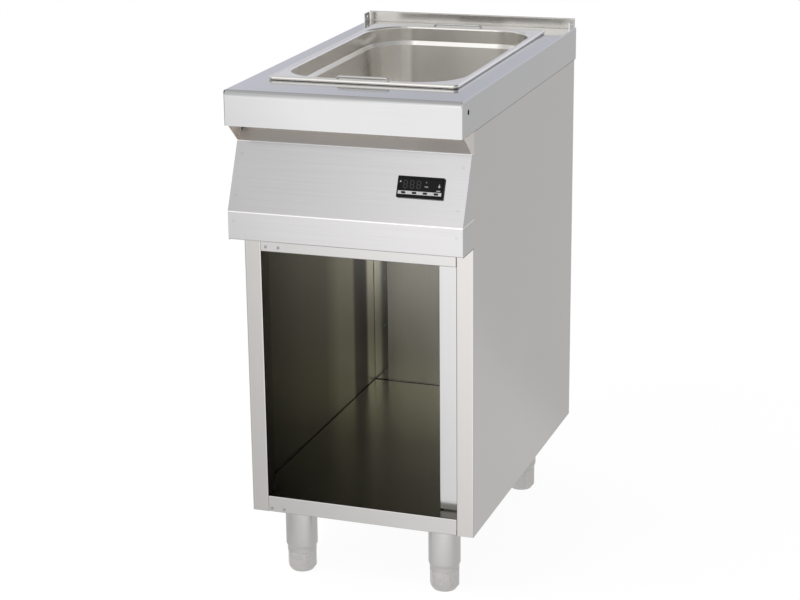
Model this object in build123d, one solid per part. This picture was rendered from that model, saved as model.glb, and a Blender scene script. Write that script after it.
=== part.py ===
from build123d import *
from math import atan2, cos, degrees, hypot, radians, sqrt, tan
import os

os.makedirs("parts", exist_ok=True)

# Electric bain marie on an open base cabinet.
# Frame: the origin is on the floor under the middle of the worktop, +Z is up and the front faces -Y.

# Overall size: worktop outline and its height above the floor.
unit_width = 400.0
unit_depth = 700.0
worktop_height = 872.0

# Sheets, bends and the gaps left between neighbouring pieces.
top_sheet = 1.0
body_sheet = 1.0
channel_sheet = 2.0
fold = 2.0
slip = 0.2
seam = 0.3
run = 0.4

# Worktop: skirt height, nose and edge bends, fold under the nose, joining holes in the skirt.
skirt_drop = 58.0
nose_bend = 9.0
corner_bend = 3.0
edge_bend = 2.0
join_setback = 32.0
join_drop = 21.0
join_hole = 4.5
join_thread = 3.4
join_nut_length = 10.0
join_nut_flats = 16.0

# Rear edge: how far the carcass stays inside the worktop, the capping strip and the joining lugs.
rear_inset = 6.0
upstand_height = 17.0
upstand_gap = 2.8
upstand_skirt = 14.0
upstand_notch = 8.0
upstand_lip = 1.5
lug_sheet = 2.0
lug_length = 27.0
lug_height = 16.5
lug_hole = 3.25
lug_hole_height = 9.7
lug_setback = 26.7
lug_corner = 5.0
upstand_bend = 1.6

# Food pan, full gastronorm size between the lands left in front of it and behind it, and its wire handles.
front_land = 96.0
rear_land = 74.0
pan_width = 325.0
pan_depth = 150.0
pan_sheet = 1.0
pan_rim = 6.0
pan_roll = 6.8
pan_rim_corner = 8.0
pan_corner = 74.0
end_flange = 16.0
side_flange = 12.0
lip_bend = 4.0
shoulder_drop = 34.2
shoulder_height = 7.5
shoulder_step = 3.0
wall_taper = 3.0
pan_floor_bend = 16.0
opening_cover = 5.0
wire = 4.0
handle_span = 88.0
handle_bend = 5.0
handle_rise = 4.2
handle_inset = 9.4
handle_drop = 48.0
handle_toe = 10.0
handle_hole_gap = 0.6

# Water tank, insulation, heating element and probe.
tank_depth = 192.0
tank_sheet = 1.2
tank_margin = 2.0
tank_corner = 20.0
tank_floor_bevel = 8.0
tank_rim = 10.0
wool = 15.0
wool_floor = 20.0
wool_drop = 5.0
wool_cut = 25.0
element_tube = 8.5
element_height = 21.0
element_pitch = 70.0
element_tail = 20.0
element_pin = 4.0
element_pin_length = 8.0
element_nut = 8.0
element_washer = 3.0
element_front_gap = 60.0
element_rear_gap = 130.0
element_bend_gap = 30.0
support_sheet = 2.0
support_foot = 14.0
support_overhang = 12.0
support_inset = 24.0
probe_rod = 6.0
probe_reach = 90.0
probe_rise = 6.0
probe_flats = 13.0
probe_tail = 4.0

# Carcass: posts, rails, cabinet opening and the set-back strip behind the right post.
post_setback = 62.5
post_width = 29.3
post_depth = 33.0
leg_height = 122.6
rail_height = 29.4
head_height = 282.5
top_rail_height = 60.5
rail_return = 20.0
strip_width = 40.0
strip_return = 18.0
strip_lift = 2.5
shelf_fold = 15.0
shelf_lap = 20.0
top_rail_return = 25.0
channel_gap = 1.5

# Legs and screw-in feet.
leg_side_inset = 69.0
leg_front_inset = 116.5
leg_rear_inset = 103.3
leg_tube = 55.2
leg_wall = 1.5
leg_cap = 6.0
leg_neck = 50.8
foot_height = 36.3
foot_corner = 51.0
foot_tread = 40.0
foot_chamfer = 8.0
foot_stem = 20.0
foot_stem_length = 48.0
leg_bush = 24.0
bush_cone = 4.0
stem_bevel = 1.5
base_channel = 60.0
bolt = 12.0
bolt_flats = 18.0
bolt_head = 8.0
bolt_reach = 14.0
bolt_nut = 10.0
neck_height = 6.8
neck_slope = 6.7
foot_shave = 3.0

# Control fascia: crease, slanted face and lip, measured down from the worktop and back from the nose.
crease_drop = 92.0
crease_setback = 51.0
slope_height = 108.2
lip_height = 47.4
lip_setback = 1.8
undercut_setback = 69.0
undercut_lean = 44.0
undercut_overlap = 10.0
undercut_notch = 6.0
cheek_edge_setback = 12.0

# Digital controller on the slanted face.
bezel_width = 77.0
bezel_height = 35.0
bezel_depth = 5.0
bezel_corner = 1.6
bezel_edge = 1.0
bezel_border = 2.25
bezel_x = 123.5
bezel_s = 59.0
cutout_width = 71.0
cutout_height = 29.0
housing_depth = 48.0
housing_bend = 2.0
vent_pitch = 10.0
vent_width = 6.0
vent_height = 12.0
vent_depth = 5.0
clip_foot = 3.5
clip_foot_height = 14.0
clip_sheet = 2.0
clip_height = 10.0
clip_length = 22.0
window_height = 18.8
window_rise = 4.2
window_sunk = 0.8
window_thick = 2.6
strip_height = 5.8
strip_drop = 9.2
key_width = 7.0
key_height = 2.8
key_pitch = 18.1
key_gap = 0.3
key_travel = 0.6
key_rim = 0.8
key_rim_thick = 0.7
pad_thick = 2.1
pad_sunk = 0.4

# Electrical pieces behind the fascia and the cable gland in the back panel.
plate_width = 220.0
plate_height = 75.0
plate_x = -50.0
plate_sheet = 1.5
piece_lift = 6.0
relay_size = 45.0
relay_depth = 36.0
relay_inset = 30.0
relay_step = 12.0
relay_shelf = 10.0
relay_pole_pitch = 13.5
block_length = 60.0
block_depth = 28.0
block_height = 30.0
block_bevel = 6.0
block_gap = 15.0
block_pole_pitch = 11.0
terminal_screw = 3.0
cutout_body = 17.0
cutout_depth = 18.0
cutout_nose = 8.0
cutout_inset = 35.0
cutout_height_on_plate = 31.0
button_radius = 3.0
button_travel = 2.0
button_proud = 1.5
gland_inset = 58.8
gland_height = 640.0
gland_bore = 6.0
gland_body = 10.0
gland_flange = 14.0
gland_proud = 4.5
gland_inside = 26.0
gland_locknut = 7.0

# Drain: position, tube and quarter-turn valve under the cabinet ceiling.
drain_x = 90.0
drain_y = 170.0
drain_tube = 26.0
drain_bore = 20.0
drain_flange = 9.0
drain_flange_thick = 2.5
drain_nut = 9.0
drain_nut_flats = 38.0
valve_gap = 5.0
valve_socket = 13.0
valve_end = 15.0
valve_step = 4.0
valve_boss = 9.0
valve_boss_length = 8.0
valve_length = 68.0
valve_flats = 34.0
valve_barrel = 20.0
stem_radius = 4.0
lever_length = 100.0
lever_width = 16.0
lever_sheet = 3.0
lever_gap = 3.0
grip_length = 64.0
grip_thick = 8.0
grip_extra = 4.0
lever_screw = 6.0
lever_screw_head = 4.0
tail_length = 38.0
tail_wall = 3.0
tail_collar = 5.0
tail_collar_height = 6.0
tail_tip = 4.0

# Derived planes of the worktop and carcass.
half_w = unit_width / 2
front = -unit_depth / 2
rear = unit_depth / 2
top = worktop_height
skirt_bottom = top - skirt_drop
skirt_inside = half_w - top_sheet
carcass_half = skirt_inside - slip
carcass_rear = rear - rear_inset
post_front = front + post_setback
post_back = post_front + post_depth
post_inside = carcass_half - post_width
wall_inside = carcass_half - body_sheet
shelf_half = wall_inside - slip
floor_top = leg_height + rail_height
opening_top = top - head_height
ceiling_bottom = opening_top + body_sheet
ceiling_top = ceiling_bottom + body_sheet
top_rail_top = opening_top + top_rail_height
panel_top = top - top_sheet

# Derived planes of the pan, its opening and the tank.
pan_front = front + front_land
pan_rear = rear - rear_land
pan_length = pan_rear - pan_front
pan_centre = (pan_front + pan_rear) / 2
open_half_x = pan_width / 2 - opening_cover
open_half_y = pan_length / 2 - opening_cover
tank_half_x = open_half_x + tank_margin
tank_half_y = open_half_y + tank_margin
tank_floor = panel_top - tank_depth
tank_under = tank_floor - tank_sheet
tank_front = pan_centre - tank_half_y
rim_top = top + pan_rim
leg_x = half_w - leg_side_inset
gland_x = gland_inset - carcass_half

# Derived lines of the fascia profile: undercut, crease, slanted face, lip.
crease_y = front + crease_setback
crease_z = top - crease_drop
lip_y = front + lip_setback
lip_top = crease_z - slope_height
lip_bottom = lip_top - lip_height
undercut_y = front + undercut_setback
undercut_z = skirt_bottom + undercut_overlap
undercut_bend_z = crease_z + (undercut_y - crease_y) / tan(radians(undercut_lean))
slope_length = hypot(lip_y - crease_y, slope_height)
slope_normal = (0, -slope_height / slope_length, (crease_y - lip_y) / slope_length)
face_plane = Plane(origin=(0, crease_y, crease_z), x_dir=(1, 0, 0), z_dir=slope_normal)
on_panel = face_plane.location * Pos(bezel_x, -bezel_s, 0)


# Shared shapes.
def block(x0, x1, y0, y1, z0, z1):
    """A box between two corners."""
    return Pos((x0 + x1) / 2, (y0 + y1) / 2, (z0 + z1) / 2) * Box(x1 - x0, y1 - y0, z1 - z0)


def folded(points, sheet, plane, low, high, side=Side.LEFT, bend=fold):
    """A folded sheet: the points draw its outer line, low to high is its length along the plane's normal."""
    line = FilletPolyline(*points, radius=bend).wires()[0]
    section = make_face(line.offset_2d(sheet, kind=Kind.INTERSECTION, side=side, closed=True))
    return plane.location * Pos(0, 0, low) * extrude(section, amount=high - low, dir=(0, 0, 1))


def tray(half_x, half_y, corner, z0, z1, taper=0.0, centre=pan_centre):
    """A rounded rectangular plug that runs down from z1 to z0 and narrows by the taper."""
    outline = Pos(0, centre, z1) * RectangleRounded(2 * half_x, 2 * half_y, corner)
    return extrude(outline, amount=z1 - z0, dir=(0, 0, -1), taper=taper)


def round_x(radius, x0, x1, y, z):
    """A round bar along X."""
    return Pos((x0 + x1) / 2, y, z) * Rot(0, 90, 0) * Cylinder(radius, abs(x1 - x0))


def round_y(radius, y0, y1, x, z):
    """A round bar along Y."""
    return Pos(x, (y0 + y1) / 2, z) * Rot(90, 0, 0) * Cylinder(radius, abs(y1 - y0))


def round_z(radius, z0, z1, x, y):
    """A round bar along Z."""
    return Pos(x, y, (z0 + z1) / 2) * Cylinder(radius, abs(z1 - z0))


def hexagon(flats, plane, length):
    """A hexagonal prism standing on a plane."""
    return extrude(plane * RegularPolygon(flats / 2, 6, major_radius=False), amount=length)


def turned(points, x, y):
    """A turned piece: radius and height pairs spun about a vertical axis."""
    profile = make_face(Plane.XZ * Polyline(*points, close=True))
    return Pos(x, y, 0) * revolve(profile, Axis.Z)


def mirror_x(shape):
    """The left-hand twin of a right-hand piece."""
    return mirror(shape, about=Plane.YZ)


parts = {}


# Worktop: one pressing with a rounded nose, side skirts with square front corners, a fold under the nose
# and the pan opening.
def nose_block(half, y0, y1, z0, z1, nose, edge):
    """A block with a round nose and softly bent side edges."""
    body = block(-half, half, y0, y1, z0, z1)
    nose_edge = body.edges().filter_by(Axis.X).group_by(Axis.Z)[-1].sort_by(Axis.Y)[0]
    body = fillet(nose_edge, nose)
    chain = []
    for e in body.edges():
        c = e.center()
        if abs(abs(c.X) - half) < 0.001 and c.Z > z0 + 0.001 and c.Y < y1 - 0.001:
            chain.append(e)
    return fillet(chain, edge)


worktop = nose_block(half_w, front, rear, skirt_bottom, top, nose_bend, edge_bend)
worktop -= nose_block(skirt_inside, front + top_sheet, rear + 9, skirt_bottom - 9, panel_top,
                      nose_bend - top_sheet, edge_bend - top_sheet)
worktop += block(-wall_inside + seam, wall_inside - seam, front, undercut_y - seam,
                 skirt_bottom, skirt_bottom + top_sheet)
square_ends = nose_block(half_w, front, rear, skirt_bottom, top, corner_bend, edge_bend)
square_end = square_ends & block(skirt_inside, half_w, front, front + 2 * nose_bend, top - 2 * nose_bend, top)
worktop += [square_end, mirror_x(square_end)]
worktop -= tray(open_half_x, open_half_y, tank_corner - tank_margin, panel_top - 1, top + 1)
worktop -= block(-skirt_inside, skirt_inside, carcass_rear - slip, rear + 1, skirt_bottom - 1, top + 1)
for s in (-1, 1):
    worktop -= round_x(join_hole, s * (half_w - 9), s * (half_w + 9), front + join_setback, top - join_drop)
parts["worktop"] = worktop

# Weld nuts behind the joining holes, and the lugs that stand on the rear corners.
nut_plane = Plane(origin=(skirt_inside, front + join_setback, top - join_drop), z_dir=(-1, 0, 0))
join_nut = hexagon(join_nut_flats, nut_plane, join_nut_length)
join_nut -= round_x(join_thread, skirt_inside - join_nut_length - 1, skirt_inside + 1,
                    front + join_setback, top - join_drop)
parts["joining_nut_right"] = join_nut
parts["joining_nut_left"] = mirror_x(join_nut)

lug_y = rear - lug_setback
lug_out = half_w - edge_bend
lug = block(lug_out - lug_sheet, lug_out, lug_y - lug_length / 2, lug_y + lug_length / 2, top, top + lug_height)
lug = fillet(lug.edges().filter_by(Axis.X).group_by(Axis.Z)[-1], lug_corner)
lug -= round_x(lug_hole, lug_out - 9, lug_out + 9, lug_y, top + lug_hole_height)
parts["joining_lug_right"] = lug
parts["joining_lug_left"] = mirror_x(lug)

# Back panel and the capping strip folded over its upper edge as the rear upstand.
back_out = carcass_rear + body_sheet
cap_front = carcass_rear - slip - body_sheet
cap_rear = back_out + slip + body_sheet
cap_top = top + upstand_height
back = block(-carcass_half + seam, carcass_half - seam, carcass_rear, back_out,
             leg_height, cap_top - body_sheet - seam)
back -= round_y(gland_body + slip, carcass_rear - 1, back_out + 1, gland_x, gland_height)
parts["back_panel"] = back

cap = folded([(cap_front, top + upstand_gap), (cap_front, cap_top), (cap_rear, cap_top),
              (cap_rear, top - upstand_skirt)], body_sheet, Plane.YZ,
             -carcass_half + seam, carcass_half - seam, Side.LEFT, upstand_bend)
for s in (-1, 1):
    cap -= Pos(s * (carcass_half - seam), cap_front, top + upstand_gap) * Box(
        2 * upstand_notch, 2 * body_sheet + slip, 2 * (upstand_height - upstand_gap - upstand_lip))
parts["rear_upstand"] = cap

# Side panels: the outer wall with the folded front post, the rear post and a flange under the worktop.
side = folded([(post_inside, post_back), (post_inside, post_front), (carcass_half, post_front),
               (carcass_half, carcass_rear), (post_inside, carcass_rear)], body_sheet, Plane.XY,
              leg_height, panel_top - fold)
side += folded([(carcass_half, skirt_bottom), (carcass_half, panel_top), (carcass_half - rail_return, panel_top)],
               body_sheet, Plane.XZ, -carcass_rear + 2 * fold, -post_back)
side -= block(post_inside - 1, wall_inside, post_front - 1, undercut_y + body_sheet + seam,
              crease_z + undercut_notch, panel_top)
parts["side_panel_right"] = side
parts["side_panel_left"] = mirror_x(side)

# Cabinet floor: a tray whose front edge is folded down between the posts as the lower rail.
rail_half = post_inside - slip
shelf_front = post_back + seam
shelf_rear = carcass_rear - fold - slip
floor = folded([(shelf_front + 9, floor_top), (post_front, floor_top), (post_front, leg_height),
                (post_front + rail_return, leg_height)], body_sheet, Plane.YZ, -rail_half, rail_half)
floor += block(-shelf_half, shelf_half, shelf_front, shelf_rear, floor_top - body_sheet, floor_top)
for s in (-1, 1):
    floor += folded([(s * (shelf_half - shelf_lap), floor_top), (s * shelf_half, floor_top),
                     (s * shelf_half, floor_top - shelf_fold)], body_sheet, Plane.XZ, -shelf_rear, -shelf_front,
                    Side.RIGHT if s > 0 else Side.LEFT)

parts["cabinet_floor"] = floor

# Top rail: a channel between the posts above the cabinet opening.
parts["top_rail"] = folded([(post_front + top_rail_return, opening_top), (post_front, opening_top),
                   (post_front, top_rail_top), (post_front + top_rail_return, top_rail_top)],
                  body_sheet, Plane.YZ, -rail_half, rail_half, Side.RIGHT)


# Cabinet ceiling: a tray that lies on the top rail's lower flange and closes the tank space.
ceiling = block(-shelf_half, shelf_half, shelf_front, shelf_rear, ceiling_bottom, ceiling_top)
ceiling += block(-rail_half, rail_half, post_front + fold, shelf_front + 9, ceiling_bottom, ceiling_top)
for s in (-1, 1):
    ceiling += folded([(s * (shelf_half - shelf_lap), ceiling_bottom), (s * shelf_half, ceiling_bottom),
                       (s * shelf_half, ceiling_top + shelf_fold)], body_sheet, Plane.XZ, -shelf_rear,
                      -shelf_front, Side.LEFT if s > 0 else Side.RIGHT)
ceiling -= round_z(drain_tube / 2 + 2, ceiling_bottom - 1, ceiling_top + 1, drain_x, drain_y)
parts["cabinet_ceiling"] = ceiling

# Set-back strip behind the right post: a channel that hangs clear of the cabinet floor.
strip_left = post_inside - strip_width
parts["door_stop_strip"] = folded(
    [(strip_left, post_back + strip_return), (strip_left, post_back), (shelf_half, post_back),
     (shelf_half, post_back + strip_return)], body_sheet, Plane.XY, floor_top + strip_lift,
    ceiling_bottom - seam)

# Base channels under the floor, with a hole for each leg bolt.
leg_ys = (front + leg_front_inset, rear - leg_rear_inset)
channel_top = floor_top - body_sheet
channel_front = post_front + rail_return + channel_gap
channel_rear = leg_ys[1] + base_channel / 2
channel = folded([(leg_x - base_channel / 2, channel_top), (leg_x - base_channel / 2, leg_height),
                  (leg_x + base_channel / 2, leg_height), (leg_x + base_channel / 2, channel_top)],
                 channel_sheet, Plane.XZ, -channel_rear, -channel_front, Side.LEFT, 2 * fold)
for y in leg_ys:
    channel -= round_z(bolt / 2 + seam, leg_height - 1, leg_height + channel_sheet + 1, leg_x, y)
parts["base_channel_right"] = channel
parts["base_channel_left"] = mirror_x(channel)

# Legs: tubes with a necked lower end that carries a threaded bush, and feet that screw into them.
leg_r = leg_tube / 2
leg_end = foot_height + slip
stem_r = foot_stem / 2
bush_top = leg_end + leg_bush
cap_under = leg_height - leg_cap
leg_profile = [(bolt / 2 + seam, leg_height), (leg_r, leg_height), (leg_r, leg_end + neck_height + neck_slope),
               (leg_neck / 2, leg_end + neck_height), (leg_neck / 2, leg_end), (stem_r + run, leg_end),
               (stem_r + run, bush_top), (leg_r - leg_wall, bush_top + bush_cone), (leg_r - leg_wall, cap_under),
               (bolt / 2 + seam, cap_under)]
foot_profile = [(0, 0), (foot_tread / 2, 0), (foot_corner / 2, foot_chamfer), (foot_corner / 2, foot_height),
                (0, foot_height)]
bolts = []
for row, y in zip(("front", "rear"), leg_ys):
    for name, x in (("left", -leg_x), ("right", leg_x)):
        parts[f"leg_{row}_{name}"] = turned(leg_profile, x, y)
        sole = Plane(origin=(x, y, 0))
        prism = hexagon(foot_corner * cos(radians(30)) + foot_shave, sole, foot_height)
        foot = prism & turned(foot_profile, x, y)
        stem = round_z(stem_r, foot_height - 0.5, foot_height + foot_stem_length, x, y)
        foot += chamfer(stem.edges().group_by(Axis.Z)[-1], stem_bevel)
        parts[f"foot_{row}_{name}"] = foot
        bolt_top = leg_height + channel_sheet + bolt_reach
        piece = hexagon(bolt_flats, Plane(origin=(x, y, cap_under - bolt_head)), bolt_head)
        piece += round_z(bolt / 2, cap_under - 1, bolt_top, x, y)
        piece += hexagon(bolt_flats, Plane(origin=(x, y, leg_height + channel_sheet)), bolt_nut)
        bolts.append(piece)
parts["leg_bolts"] = Compound(bolts)

# Control fascia: one sheet folded as undercut, slanted face, lip and bottom return, closed by two cheeks.
cheek_in = half_w - body_sheet
fascia = folded([(undercut_y, undercut_z), (undercut_y, undercut_bend_z), (crease_y, crease_z), (lip_y, lip_top),
                 (lip_y, lip_bottom), (post_front - seam, lip_bottom)], body_sheet, Plane.YZ, -cheek_in, cheek_in)
fascia_notch = block(wall_inside - seam, half_w, post_front - seam, undercut_y + 9, lip_top, top)
fascia -= [fascia_notch, mirror_x(fascia_notch)]
fascia -= on_panel * Box(cutout_width + 2 * slip, cutout_height + 2 * slip, 2 * bezel_depth)
parts["control_fascia"] = fascia

cheek_line = Polyline((front + cheek_edge_setback, skirt_bottom - seam), (crease_y, crease_z), (lip_y, lip_top),
                      (lip_y, lip_bottom), (post_front - seam, lip_bottom), (post_front - seam, skirt_bottom - seam),
                      close=True)
cheek = Plane.YZ.location * Pos(0, 0, cheek_in) * extrude(make_face(cheek_line), amount=body_sheet, dir=(0, 0, 1))
parts["cheek_right"] = cheek
parts["cheek_left"] = mirror_x(cheek)

# Digital controller: bezel on the slanted face, window, key strip, keys, housing and side clips.
bezel = extrude(RectangleRounded(bezel_width, bezel_height, bezel_corner), amount=bezel_depth)
bezel = fillet(bezel.edges().group_by(Axis.Z)[-1], bezel_edge)
strip_width_front = bezel_width - 2 * bezel_border
window_width = cutout_width
bezel -= Pos(0, window_rise, bezel_depth / 2) * Box(window_width, window_height, 2 * bezel_depth)
bezel -= Pos(0, -strip_drop, bezel_depth / 2) * Box(strip_width_front, strip_height, 2 * bezel_depth)
parts["controller_bezel"] = on_panel * bezel
window = Pos(0, window_rise, bezel_depth - window_sunk - window_thick / 2) * Box(
    window_width - slip, window_height - slip, window_thick)
parts["display_window"] = on_panel * window
pad_top = bezel_depth - pad_sunk
pad_back = pad_top - pad_thick
key_back = pad_back - key_rim_thick - slip / 2
key_top = pad_top + key_travel + slip / 2
keypad = Pos(0, -strip_drop, (pad_top + pad_back) / 2) * Box(
    strip_width_front - slip, strip_height - slip, pad_thick)
for i in range(4):
    spot = Pos((i - 1.5) * key_pitch, -strip_drop, 0)
    slot = SlotOverall(key_width + 2 * key_gap, key_height + 2 * key_gap)
    keypad -= spot * Pos(0, 0, pad_back - 1) * extrude(slot, amount=pad_thick + 2)
    stem = extrude(SlotOverall(key_width, key_height), amount=key_top - key_back)
    stem += extrude(SlotOverall(key_width + 2 * key_rim, key_height + 2 * key_rim), amount=key_rim_thick)
    parts[f"key_{i + 1}"] = on_panel * spot * Pos(0, 0, key_back) * stem
parts["keypad_strip"] = on_panel * keypad
housing = Pos(0, 0, -housing_depth / 2) * Box(cutout_width - slip, cutout_height - slip, housing_depth)
housing = fillet(housing.edges().group_by(Axis.Z)[0], housing_bend)
for i in range(6):
    housing -= Pos((i - 2.5) * vent_pitch, 0, -housing_depth) * Box(vent_width, vent_height, 2 * vent_depth)
parts["controller_housing"] = on_panel * housing
clips = []
for s in (-1, 1):
    foot = Pos(s * (cutout_width + clip_foot) / 2, 0, -body_sheet - clip_sheet) * Box(
        clip_foot, clip_foot_height, 2 * clip_sheet)
    arm = Pos(s * (cutout_width + clip_sheet) / 2, 0, -body_sheet - clip_length / 2) * Box(
        clip_sheet, clip_height, clip_length)
    clips.append(foot + arm)
parts["controller_clips"] = on_panel * Compound(clips)

# Component plate on the top rail, with relay, terminal block and safety thermostat facing the fascia.
plate_front = post_front + fold
plate_left = plate_x - plate_width / 2
plate_right = plate_x + plate_width / 2
parts["component_plate"] = folded(
    [(plate_front + rail_return, top_rail_top), (plate_front, top_rail_top),
     (plate_front, top_rail_top + plate_height)], plate_sheet, Plane.YZ, plate_left, plate_right, Side.RIGHT)

# Relay: a stepped block with a row of terminal screws on each of its two shelves.
low_z = top_rail_top + piece_lift
relay_left = plate_left + relay_inset
relay_top = low_z + relay_size
relay_nose = plate_front - relay_depth
relay_line = Polyline((plate_front, low_z), (relay_nose + relay_step, low_z),
                      (relay_nose + relay_step, low_z + relay_shelf), (relay_nose, low_z + relay_shelf),
                      (relay_nose, relay_top - relay_shelf), (relay_nose + relay_step, relay_top - relay_shelf),
                      (relay_nose + relay_step, relay_top), (plate_front, relay_top), close=True)
relay = Plane.YZ.location * Pos(0, 0, relay_left) * extrude(make_face(relay_line), amount=relay_size, dir=(0, 0, 1))
for i in (-1, 0, 1):
    pole_x = relay_left + relay_size / 2 + i * relay_pole_pitch
    for z in (low_z + relay_shelf / 2, relay_top - relay_shelf / 2):
        shelf_y = relay_nose + relay_step
        relay -= round_y(terminal_screw, shelf_y - 1, shelf_y + terminal_screw, pole_x, z)
parts["heater_relay"] = relay

# Terminal block: bevelled towards the front, with one screw well for each pole.
block_left = relay_left + relay_size + block_gap
block_nose = plate_front - block_depth
third = block_height / 3
block_line = Polyline((plate_front, low_z), (block_nose + block_bevel, low_z), (block_nose, low_z + third),
                      (block_nose, low_z + 2 * third), (block_nose + block_bevel, low_z + block_height),
                      (plate_front, low_z + block_height), close=True)
terminal = extrude(make_face(block_line), amount=block_length, dir=(0, 0, 1))
terminal = Plane.YZ.location * Pos(0, 0, block_left) * terminal
for i in (-2, -1, 0, 1, 2):
    terminal -= round_y(terminal_screw, block_nose - 1, block_nose + 4 * terminal_screw,
                        block_left + block_length / 2 + i * block_pole_pitch, low_z + block_height / 2)
parts["terminal_block"] = terminal

# Safety thermostat with its reset button, which slides in the nose of the body.
stat_x = plate_right - cutout_inset
stat_z = top_rail_top + cutout_height_on_plate
stat_face = plate_front - cutout_depth
stat_nose = stat_face - cutout_nose
button_front = stat_nose - button_travel - button_proud
button_back = stat_face + button_radius
thermostat = round_y(cutout_body, stat_face, plate_front, stat_x, stat_z)
thermostat += round_y(2 * button_radius, stat_nose, stat_face + 1, stat_x, stat_z)
thermostat -= round_y(button_radius + run, stat_nose - 1, button_back + button_travel + button_proud, stat_x, stat_z)
parts["safety_thermostat"] = thermostat
button = round_y(button_radius, button_front, button_back, stat_x, stat_z)
parts["reset_button"] = chamfer(button.edges().group_by(Axis.Y)[0], 0.2 * button_radius)

# Water tank: an open drawn tray hung by its rim under the worktop opening.
element_z = tank_floor + element_height
element_r = element_tube / 2
inner_x = element_pitch / 2
outer_x = 1.5 * element_pitch
probe_z = element_z + probe_rise
tank_wall = tank_front - tank_sheet
basin = tray(tank_half_x + tank_sheet, tank_half_y + tank_sheet, tank_corner + tank_sheet, tank_under, panel_top)
basin = chamfer(basin.faces().sort_by(Axis.Z)[0].edges(), tank_floor_bevel + (2 - sqrt(2)) * tank_sheet)
basin += tray(tank_half_x + tank_rim, tank_half_y + tank_rim, tank_corner + tank_rim, panel_top - tank_sheet,
              panel_top)
water = tray(tank_half_x, tank_half_y, tank_corner, tank_floor, panel_top + 1)
water = chamfer(water.faces().sort_by(Axis.Z)[0].edges(), tank_floor_bevel)
tank = basin - water
for x in (-outer_x, -inner_x):
    tank -= round_y(element_r + seam, tank_wall - 1, tank_front + 1, x, element_z)
tank -= round_y(probe_rod / 2 + seam, tank_wall - 1, tank_front + 1, 0, probe_z)
tank -= round_z(drain_tube / 2 + seam, tank_under - 1, tank_floor + 1, drain_x, drain_y)
parts["water_tank"] = tank

# Mineral wool around the tank, cut away at the element terminals, the probe and the drain.
wool_in = tank_sheet + seam
wool_out = wool_in + wool
wool_top = panel_top - tank_sheet - wool_drop
jacket = tray(tank_half_x + wool_out, tank_half_y + wool_out, tank_corner + wool_out,
              tank_under - wool_floor, wool_top)
jacket -= tray(tank_half_x + wool_in, tank_half_y + wool_in, tank_corner + wool_in, tank_under - seam, wool_top + 1)
jacket -= block(-outer_x - wool_cut, wool_cut, tank_front - wool_out - 1, tank_front,
                element_z - element_height, element_z + wool_cut)
jacket -= round_z(drain_tube, tank_under - wool_floor - 1, tank_under + 1, drain_x, drain_y)
parts["tank_insulation"] = jacket

# Tubular heating element: one tube bent into a flat serpentine, both ends through the tank's front wall.
tail_y = tank_wall - element_tail
far_y = pan_centre + tank_half_y - element_rear_gap
mid_y = far_y - element_bend_gap
near_y = tank_front + element_front_gap
path = Line((-outer_x, tail_y), (-outer_x, far_y))
path += RadiusArc((-outer_x, far_y), (outer_x, far_y), outer_x, short_sagitta=True)
path += Line((outer_x, far_y), (outer_x, near_y))
path += RadiusArc((outer_x, near_y), (inner_x, near_y), inner_x, short_sagitta=True)
path += Line((inner_x, near_y), (inner_x, mid_y))
path += RadiusArc((inner_x, mid_y), (-inner_x, mid_y), -inner_x, short_sagitta=True)
path += Line((-inner_x, mid_y), (-inner_x, tail_y))
tube_start = Plane(origin=(-outer_x, tail_y, 0), z_dir=(0, 1, 0))
element = sweep(tube_start * Circle(element_r), path=path)
element = Pos(0, 0, element_z) * element
fittings = []
for x in (-outer_x, -inner_x):
    element += round_y(element_pin / 2, tail_y - element_pin_length, tail_y + 1, x, element_z)
    nut_face = Plane(origin=(x, tank_wall, element_z), z_dir=(0, -1, 0))
    bore = round_y(element_r + seam, tail_y, tank_front + 2 * element_washer, x, element_z)
    fittings.append(hexagon(2 * element_tube, nut_face, element_nut) - bore)
    fittings.append(round_y(element_tube, tank_front, tank_front + element_washer, x, element_z) - bore)
parts["heating_element"] = element
parts["element_fittings"] = Compound(fittings)

# Two angle brackets on the tank floor, notched for the straight runs of the element.
rib_half = outer_x + support_overhang
supports = []
for y in (near_y + support_inset, mid_y - support_inset - support_foot):
    rib = block(-rib_half, rib_half, y, y + support_sheet, tank_floor, element_z)
    rib += block(-rib_half, rib_half, y, y + support_foot, tank_floor, tank_floor + support_sheet)
    for x in (-outer_x, -inner_x, inner_x, outer_x):
        rib -= round_y(element_r + seam, y - 1, y + support_foot + 1, x, element_z)
    supports.append(rib)
parts["element_supports"] = Compound(supports)

# Temperature probe through the front wall between the element's two ends.
probe = round_y(probe_rod / 2, tank_wall - element_nut - probe_tail, tank_front + probe_reach, 0, probe_z)
probe += hexagon(probe_flats, Plane(origin=(0, tank_wall, probe_z), z_dir=(0, -1, 0)), element_nut)
parts["temperature_probe"] = chamfer(probe.edges().group_by(Axis.Y)[-1], probe_rod / 4)

# Drain: flanged tail through the tank floor, quarter-turn valve with its lever, and the hose tail.
tube_r = drain_tube / 2
valve_top = opening_top - valve_gap
tube_end = valve_top - valve_socket + 2
valve_bottom = valve_top - valve_length
valve_z = (valve_top + valve_bottom) / 2
flange_top = tank_floor + drain_flange_thick
fitting = turned([(drain_bore / 2, flange_top), (tube_r + drain_flange, flange_top),
                  (tube_r + drain_flange, tank_floor), (tube_r, tank_floor), (tube_r, tube_end),
                  (drain_bore / 2, tube_end)], drain_x, drain_y)
tail_nut = hexagon(drain_nut_flats, Plane(origin=(drain_x, drain_y, tank_under - drain_nut)), drain_nut)
fitting += tail_nut - round_z(tube_r - 1, tank_under - drain_nut - 1, tank_under + 1, drain_x, drain_y)
parts["drain_fitting"] = fitting

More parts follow.
